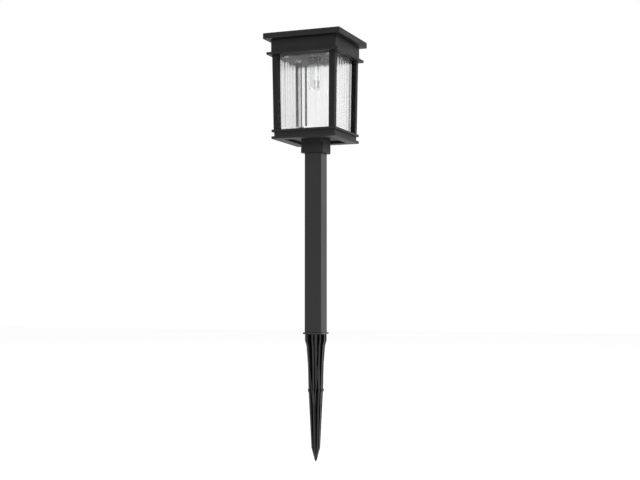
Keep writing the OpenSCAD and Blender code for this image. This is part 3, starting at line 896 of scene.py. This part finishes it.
# %% Turn the cell
cell_low, cell_high = low_mm("battery_cell"), high_mm("battery_cell")
cell_y, cell_z = (cell_low.y + cell_high.y) / 2, (cell_low.z + cell_high.z) / 2
can_foot_x, button_x = cell_low.x, cell_high.x
sleeve_x = button_x - 1.3
sleeve = [(5.7, can_foot_x), (6.7, can_foot_x), (7.0, can_foot_x + 0.12), (7.1, can_foot_x + 0.5),
          (7.1, sleeve_x - 1.9), (6.75, sleeve_x - 1.5), (6.75, sleeve_x - 1.2), (7.08, sleeve_x - 0.7),
          (7.0, sleeve_x - 0.12), (6.7, sleeve_x), (5.6, sleeve_x), (5.6, sleeve_x - 0.12),
          (6.6, sleeve_x - 0.2), (6.6, can_foot_x + 0.12), (5.7, can_foot_x + 0.12)]
add_piece("cell_shrink_sleeve", turned(sleeve, (0, cell_y, cell_z), "x", 64), "solar_top", "battery_sleeve",
          replaces=["battery_cell"])
can = [(0, can_foot_x + 0.02), (5.4, can_foot_x + 0.02), (5.65, can_foot_x + 0.3), (6.55, can_foot_x + 0.5),
       (6.55, sleeve_x - 0.5), (5.5, sleeve_x - 0.25), (3.6, sleeve_x - 0.2), (2.9, sleeve_x),
       (2.55, sleeve_x + 0.2), (2.5, button_x - 0.3), (2.3, button_x - 0.06), (2.0, button_x), (0, button_x)]
add_piece("cell_steel_can", turned(can, (0, cell_y, cell_z), "x", 64), "solar_top", "battery_sleeve",
          finish=finishes["contact_nickel"])

# %% [markdown]
# ## Contacts
#
# At one end a conical spring presses on the can, flattened by the cell. At the other end a plate
# with a pressed dimple touches the button. Both grow out of an upright leaf of spring steel, and
# the spring is a real coil here, swept along a narrowing spiral.

# %% Wind the spring and press the plate
plate_x, plate_t = 26.0, 0.6
leaf_half_w = 5.5
plate_foot_z, plate_head_z = low_mm("contact_plate").z, high_mm("contact_plate").z


def contact_leaf(side):
    """The upright leaf of a contact, with rounded edges."""
    low_x, high_x = sorted((side * plate_x, side * (plate_x + plate_t)))
    return rounded_block((low_x, cell_y - leaf_half_w, plate_foot_z),
                         (high_x, cell_y + leaf_half_w, plate_head_z), 0.18, 3)


spring_wire_r = 0.19
spring_turns, steps_a_turn = 3, 24
spring_wide_r, spring_taper, spring_flat_l = 4.4, 2.0, 0.4
coil = []
for step in range(spring_turns * steps_a_turn + 1):
    turn = 2 * math.pi * step / steps_a_turn
    share = step / (spring_turns * steps_a_turn)
    radius = spring_wide_r - spring_taper * share
    coil.append((-plate_x + spring_wire_r + spring_flat_l * share, cell_y + radius * math.cos(turn),
                 cell_z + radius * math.sin(turn)))
add_piece("contact_coil_spring", joined(contact_leaf(-1), swept_wire(coil, spring_wire_r, 10)),
          "solar_top", "contact_nickel", replaces=["contact_spring"])
dimple = [(0, button_x), (1.1, button_x + 0.03), (1.6, button_x + 0.15), (2.0, button_x + 0.45),
          (2.4, plate_x + 0.02), (2.4, plate_x + 0.2), (0, plate_x + 0.2)]
add_piece("contact_dimple_plate", joined(contact_leaf(1), turned(dimple, (0, cell_y, cell_z), "x", 32)),
          "solar_top", "contact_nickel", replaces=["contact_plate"])

# %% [markdown]
# ## Driver chip
#
# The board is small and hand soldered. The chip is a flat package with eight gull-wing feet, which
# are bent from strip: out of the body, down, and flat along the board. They are swept, so each bend
# has its own small radius.

# %% Place the chip
chip_left, chip_right, chip_half_d = -12, -7, 2
first_pin_x, pin_pitch = -11.35, 1.25
board_top_z = high_mm("circuit_board").z
board_y = (low_mm("circuit_board").y + high_mm("circuit_board").y) / 2
chip_high = high_mm("driver_chip")
chip_body = rounded_block((chip_left, board_y - chip_half_d, board_top_z + 0.25),
                          (chip_right, board_y + chip_half_d, chip_high.z), 0.18, 2)
add_piece("driver_chip_body", chip_body, "solar_top", "chip_epoxy", replaces=["driver_chip"])
foot_section = [(-0.22, -0.09), (0.22, -0.09), (0.22, 0.09), (-0.22, 0.09)]
feet = []
for pin in range(4):
    for side in (-1, 1):
        x = first_pin_x + pin_pitch * pin
        foot = [(x, board_y + side * 3.15, board_top_z + 0.1), (x, board_y + side * 2.65, board_top_z + 0.1),
                (x, board_y + side * 2.35, board_top_z + 0.75),
                (x, board_y + side * 1.8, board_top_z + 0.75)]
        feet.append(swept(bent_route(foot, 0.15, 4), foot_section, across=(1, 0, 0)))
add_piece("driver_chip_feet", joined(*feet), "solar_top", "chip_epoxy", finish=finishes["solder"])

# %% [markdown]
# ## Choke
#
# The choke is a ferrite bobbin, like a cotton reel, with one layer of enamelled wire. The bobbin is
# turned and the winding is one wire swept along a helix, so each turn catches its own highlight.

# %% Wind the choke
choke_low, choke_high = low_mm("choke_coil"), high_mm("choke_coil")
choke_z = (choke_low.z + choke_high.z) / 2
bobbin = [(0, 2.0), (1.5, 2.0), (1.68, 2.15), (1.68, 2.7), (1.5, 2.85), (0.95, 2.9), (0.95, 10.1),
          (1.5, 10.15), (1.68, 10.3), (1.68, 10.85), (1.5, 11.0), (0, 11.0)]
add_piece("choke_ferrite_bobbin", turned(bobbin, (0, board_y, choke_z), "x", 40), "solar_top",
          "choke_enamel", replaces=["choke_coil"], finish=finishes["ferrite"])
wire_turns, wire_steps = 15, 20
winding_x, winding_l, winding_r, choke_wire_r = 3.15, 6.7, 1.16, 0.2
winding = []
for step in range(wire_turns * wire_steps + 1):
    turn = 2 * math.pi * step / wire_steps
    winding.append((winding_x + winding_l * step / (wire_turns * wire_steps),
                    board_y + winding_r * math.cos(turn), choke_z + winding_r * math.sin(turn)))
add_piece("choke_winding", swept_wire(winding, choke_wire_r, 8), "solar_top", "choke_enamel")

# %% [markdown]
# ## Solder joints
#
# Molten solder climbs a lead and freezes as a cone with a hollow flank. Each joint is such a cone,
# turned, at the places where the leads and the choke's legs will come through.

# %% Solder the joints
solar_joint_x = 18
battery_joint_x, battery_joint_y = 16, board_y + 4
led_leg_x, led_joint_y = 1.27, board_y + 4.6
choke_leg_x = (2.4, 10.6)


def solder_cone(x, y, radius=0.95, height=0.9):
    """Solder that has run up a lead, with a hollow flank."""
    flank = [(0, 0), (radius, 0), (0.8 * radius, 0.12 * height), (0.5 * radius, 0.45 * height),
             (0.36 * radius, height), (0, height)]
    return turned([(r, board_top_z + z) for r, z in flank], (x, y, 0), "z", 20)


joints = [solder_cone(side * solar_joint_x, board_y) for side in (-1, 1)]
joints += [solder_cone(side * battery_joint_x, battery_joint_y) for side in (-1, 1)]
joints += [solder_cone(x, board_y, 0.6, 0.6) for x in choke_leg_x]
joints += [solder_cone(side * led_leg_x, led_joint_y, 0.8, 0.7) for side in (-1, 1)]
add_piece("board_solder_joints", joined(*joints), "solar_top", "board_green", finish=finishes["solder"])

# %% [markdown]
# ## Resistors and capacitor
#
# Two chip resistors lie beside the driver, small ceramic blocks with a tinned cap on each end. A
# disc capacitor stands on two legs. It is turned, because it is pressed round and dipped.

# %% Add the small parts
resistors, ends = [], []
for x in (-4.6, -1.4):
    resistors.append(rounded_block((x - 0.65, board_y - 4.6, board_top_z),
                                   (x + 0.65, board_y - 4.0, board_top_z + 0.5), 0.06, 1))
    for side in (-1, 1):
        middle = x + side * 0.8
        ends.append(rounded_block((middle - 0.2, board_y - 4.65, board_top_z),
                                  (middle + 0.2, board_y - 3.95, board_top_z + 0.55), 0.08, 2))
add_piece("chip_resistors", joined(*resistors), "solar_top", "chip_epoxy")
add_piece("chip_resistor_ends", joined(*ends), "solar_top", "chip_epoxy", finish=finishes["solder"])
disc = [(0, -0.6), (1.2, -0.55), (1.6, -0.25), (1.6, 0.25), (1.2, 0.55), (0, 0.6)]
disc_x, disc_y = -1.6, board_y - 2.6
disc = turned([(r, disc_x + x) for r, x in disc], (0, disc_y, board_top_z + 2.1), "x", 32)
add_piece("disc_capacitor", disc, "solar_top", "board_green", finish=finishes["ceramic"])
legs = [swept_wire([(disc_x, disc_y + side, board_top_z + 1.0), (disc_x, disc_y + side, board_top_z)],
                   0.2, 10) for side in (-0.7, 0.7)]
add_piece("disc_capacitor_legs", joined(*legs), "solar_top", "board_green", finish=finishes["solder"])

# %% [markdown]
# ## Leads
#
# Each lead is stranded wire in a PVC jacket. The jacket is stripped a little short of the joint, so
# bare tinned wire shows there. That is why a lead is two swept wires: a jacket, and a thinner core
# that runs on to the joint.

# %% Strip a lead
lead_r = 0.6
bare_r = 0.3
bare_l = 1.5


def lead_shapes(stops, bend, bare_start=False):
    """The jacket and the core of a lead. The core shows at the last stop, and at the first if asked."""
    first, second = Vector(stops[0]), Vector(stops[1])
    last, before = Vector(stops[-1]), Vector(stops[-2])
    jacket = [tuple(stop) for stop in stops]
    jacket[-1] = tuple(last + (before - last).normalized() * bare_l)
    if bare_start:
        jacket[0] = tuple(first + (second - first).normalized() * bare_l)
    return (swept_wire(bent_route(jacket, bend), lead_r, 16), swept_wire(bent_route(stops, bend), bare_r, 8))


print("lead", 2 * lead_r, "mm across, bare for", bare_l, "mm")

# %% [markdown]
# ## Leads of the panel and the cell
#
# Red leads come down from the solar panel, and black ones come from the cell's contacts. They lie
# in slack curves, because the light is closed by hand and the leads have to fold out of the way.

# %% Run the leads of the panel and the cell
socket_top_z = high_mm("bulb_socket").z
solar_top_lead_z = high_mm("solar_leads").z
turn_z = solar_top_lead_z - 3.4
pairs = [lead_shapes([(side * 1.2, 0, solar_top_lead_z), (side * 1.2, 0, turn_z), (side * 12, -14, turn_z),
                      (side * solar_joint_x, board_y, board_top_z + 3),
                      (side * solar_joint_x, board_y, board_top_z)], 2.0)
         for side in (-1, 1)]
add_piece("solar_lead_jackets", joined(*[jacket for jacket, core in pairs]), "solar_top", "lead_red",
          replaces=["solar_leads"])
add_piece("solar_lead_cores", joined(*[core for jacket, core in pairs]), "solar_top", "lead_red",
          finish=finishes["solder"])
lead_x = plate_x + plate_t + lead_r + 0.03
contact_joint_y = cell_y - 4
pairs = [lead_shapes([(side * lead_x, contact_joint_y, cell_z + 1),
                      (side * lead_x, contact_joint_y, cell_z + 5.5),
                      (side * 23, 9, cell_z + 8), (side * 21, -8, cell_z + 2),
                      (side * battery_joint_x, battery_joint_y, board_top_z + 2.6),
                      (side * battery_joint_x, battery_joint_y, board_top_z)], 2.5, bare_start=True)
         for side in (-1, 1)]
add_piece("battery_lead_jackets", joined(*[jacket for jacket, core in pairs]), "solar_top", "lead_black",
          replaces=["battery_leads"])
add_piece("battery_lead_cores", joined(*[core for jacket, core in pairs]), "solar_top", "lead_black",
          finish=finishes["solder"])

# %% [markdown]
# ## Leads of the LED
#
# One black and one red lead run from the board over the bulb socket to the LED's two legs, and a
# blob of solder holds each of the cell's leads to its contact.

# %% Run the leads of the LED and solder the contacts
for side, slot_name in ((-1, "lead_black"), (1, "lead_red")):
    x = side * led_leg_x
    jacket, core = lead_shapes([(x, 0, socket_top_z - 0.1), (x, 0, socket_top_z + 2.5),
                                (x, -11, socket_top_z + 2.5), (x, led_joint_y, socket_top_z - 2.5),
                                (x, led_joint_y, board_top_z)], 2.0)
    add_piece(f"led_{slot_name}_jacket", jacket, "solar_top", slot_name)
    add_piece(f"led_{slot_name}_core", core, "solar_top", slot_name, finish=finishes["solder"])
blobs = []
for side in (-1, 1):
    blob = [(0, 0), (0.75, 0), (0.85, 0.3), (0.6, 0.75), (0, 0.95)]
    outline = [(r, side * (plate_x + plate_t + z - 0.05)) for r, z in blob]
    blobs.append(turned(outline, (0, contact_joint_y, cell_z + 1.4), "x", 20))
add_piece("contact_solder_blobs", joined(*blobs), "solar_top", "contact_nickel", finish=finishes["solder"])

# %% [markdown]
# ## Switch knob
#
# The slide switch has a white acetal knob. A square slider runs in the body, and a stem reaches
# through the ceiling to three grip ridges for a fingertip. All are joined blocks with rounded
# edges. The knob rides on a body of its own, because it slides.

# %% Shape the knob
ridge_gap = 0.85
knob_low, knob_high = low_mm("switch_knob"), high_mm("switch_knob")
knob_x, knob_y = (knob_low.x + knob_high.x) / 2, (knob_low.y + knob_high.y) / 2
knob = [rounded_block((knob_low.x, knob_low.y, knob_high.z - 1.4), tuple(knob_high), 0.15, 3),
        rounded_block((knob_x - 1.1, knob_y - 0.7, knob_low.z + 0.4),
                      (knob_x + 1.1, knob_y + 0.7, knob_high.z - 1.2), 0.12, 2)]
knob += [rounded_block((knob_x + x - 0.25, knob_y - 0.7, knob_low.z),
                       (knob_x + x + 0.25, knob_y + 0.7, knob_low.z + 0.7), 0.12, 3)
         for x in (-ridge_gap, 0, ridge_gap)]
add_piece("switch_knob_acetal", joined(*knob), "switch_knob", "knob_white", replaces=["switch_knob"])

# %% [markdown]
# ## Switch cover
#
# A nickel-plated cover with three pins closes the back of the switch's body. The body itself is a
# CAD part.

# %% Close the switch
pin_gap = 2.5
body_low, body_high = low_mm("switch_body"), high_mm("switch_body")
cover = [rounded_block((body_low.x + 0.3, body_low.y + 0.3, body_high.z - 0.1),
                       (body_high.x - 0.3, body_high.y - 0.3, body_high.z + 0.2), 0.08, 2)]
body_x, body_y = (body_low.x + body_high.x) / 2, (body_low.y + body_high.y) / 2
cover += [rounded_block((body_x + x - 0.35, body_y - 0.15, body_high.z),
                        (body_x + x + 0.35, body_y + 0.15, body_high.z + 1.6), 0.08, 2)
          for x in (-pin_gap, 0, pin_gap)]
add_piece("switch_cover_and_pins", joined(*cover), "solar_top", "contact_nickel")

# %% [markdown]
# ## Silver grid on the solar cells
#
# The current leaves a cell through a printed silver grid: hair-fine fingers across each strip and
# one busbar along it. Tinned ribbons join each strip to the next, at alternate ends, so that the
# strips are in series. They lie under the clear resin.

# %% Print the grid and solder the ribbons
strip_count = 8
cells_low, cells_high = low_mm("solar_cells"), high_mm("solar_cells")
strip_split = 0.8
strip_pitch = (cells_high.x - cells_low.x + strip_split) / strip_count
finger_step = 2.4
grid, ribbons = [], []
for strip in range(strip_count):
    left = cells_low.x + strip * strip_pitch
    right = left + strip_pitch - strip_split
    middle = (left + right) / 2
    grid.append(rounded_block((middle - 0.4, cells_low.y + 1, cells_high.z - 0.02),
                              (middle + 0.4, cells_high.y - 1, cells_high.z + 0.03), 0.01, 1))
    for finger in range(int((cells_high.y - cells_low.y - 2) / finger_step) + 1):
        y = cells_low.y + 1.2 + finger * finger_step
        grid.append(rounded_block((left + 0.4, y - 0.06, cells_high.z - 0.02),
                                  (right - 0.4, y + 0.06, cells_high.z + 0.02), 0.01, 1))
    if strip < strip_count - 1:
        y = (cells_high.y - 2.5) if strip % 2 else (cells_low.y + 2.5)
        ribbons.append(rounded_block((middle, y - 0.75, cells_high.z - 0.01),
                                     (middle + strip_pitch, y + 0.75, cells_high.z + 0.09), 0.03, 1))
add_piece("solar_silver_grid", joined(*grid), "solar_top", "solar_silicon",
          finish=finishes["contact_nickel"])
add_piece("solar_ribbons", joined(*ribbons), "solar_top", "solar_silicon", finish=finishes["solder"])

# %% [markdown]
# ## Light, floor and background
#
# A white studio has light from every side, and the world gives that light. Where the camera, a
# reflection or a view through glass reaches the world, it is plain white. For lighting matt
# surfaces it is dimmer, so that colours come out as they are written. The same factor serves the
# world and the floor, so it has a helper.

# %% Build the world
matt_light = 0.65


def looked_at(tree):
    """A factor that is 1 for what the camera, gloss or glass looks at, and 0 for matt light."""
    rays = add_node(tree, "ShaderNodeLightPath")
    seen = rays.outputs["Is Camera Ray"]
    for kind in ("Is Glossy Ray", "Is Transmission Ray"):
        seen = add_node(tree, "ShaderNodeMath", {0: seen, 1: rays.outputs[kind]},
                        operation="MAXIMUM").outputs[0]
    return seen


scene = bpy.context.scene
scene.view_settings.view_transform = "Standard"
world = bpy.data.worlds.new("white studio")
scene.world = world
world.use_nodes = True
sky = world.node_tree
sky.nodes.clear()
strength = add_node(sky, "ShaderNodeMapRange", {
    "Value": looked_at(sky), "To Min": matt_light, "To Max": 1.0})
white = add_node(sky, "ShaderNodeBackground", {"Color": paint("#ffffff"), "Strength": strength.outputs[0]})
add_node(sky, "ShaderNodeOutputWorld", {"Surface": white.outputs[0]})
print("world:", world.name)

# %% [markdown]
# ## Lamps
#
# Two large soft lamps give the light a direction: a brighter one from the left, in front and above,
# and a weaker one from the right. They are hidden from the camera and from gloss, so that no lamp
# shows as a square in the plastic.

# %% Hang the lamps


def soft_lamp(name, place_mm, aim_mm, side_mm, watts):
    """A square lamp that shines from one point towards another."""
    lamp = bpy.data.lights.new(name, "AREA")
    lamp.size = side_mm * MM
    lamp.energy = watts
    holder = bpy.data.objects.new(name, lamp)
    bpy.context.scene.collection.objects.link(holder)
    holder.location = Vector(place_mm) * MM
    holder.rotation_euler = (Vector(aim_mm) - Vector(place_mm)).to_track_quat("-Z", "Y").to_euler()
    holder.visible_camera = False
    holder.visible_glossy = False
    print(name, watts, "W,", side_mm, "mm square")


lantern_middle = (0, 0, (floor_z + ceiling_z) / 2)
soft_lamp("key lamp", (-1500, -1700, 1500), lantern_middle, 1400, 30)
soft_lamp("fill lamp", (1700, -900, 900), lantern_middle, 1200, 10)

# %% [markdown]
# ## Floor
#
# The floor lies under the stake's tip and keeps a soft shadow. It is pale and matt, and a little
# glow is added where it is looked at, so that it fades into the white behind it.

# %% Lay the floor
floor_glow = 0.38
floor_mesh = bpy.data.meshes.new("floor")
half_floor = 6000 * MM
floor_level = (stake_tip_z - 0.5) * MM
corners = [(x * half_floor, y * half_floor, floor_level) for x, y in ((-1, -1), (1, -1), (1, 1), (-1, 1))]
floor_mesh.from_pydata(corners, [], [(0, 1, 2, 3)])
floor = bpy.data.objects.new("floor", floor_mesh)
bpy.context.scene.collection.objects.link(floor)
material = bpy.data.materials.new("pale_floor")
material.use_nodes = True
tree = material.node_tree
tree.nodes.clear()
share = add_node(tree, "ShaderNodeMath", {0: looked_at(tree), 1: floor_glow}, operation="MULTIPLY")
matt = add_node(tree, "ShaderNodeBsdfDiffuse", {"Color": paint("#f4f4f4")})
glow = add_node(tree, "ShaderNodeEmission", {"Color": paint("#ffffff"), "Strength": share.outputs[0]})
both = add_node(tree, "ShaderNodeAddShader", {0: matt.outputs[0], 1: glow.outputs[0]})
add_node(tree, "ShaderNodeOutputMaterial", {"Surface": both.outputs[0]})
floor.data.materials.append(material)
print("floor at", round(floor_level / MM, 1), "mm")
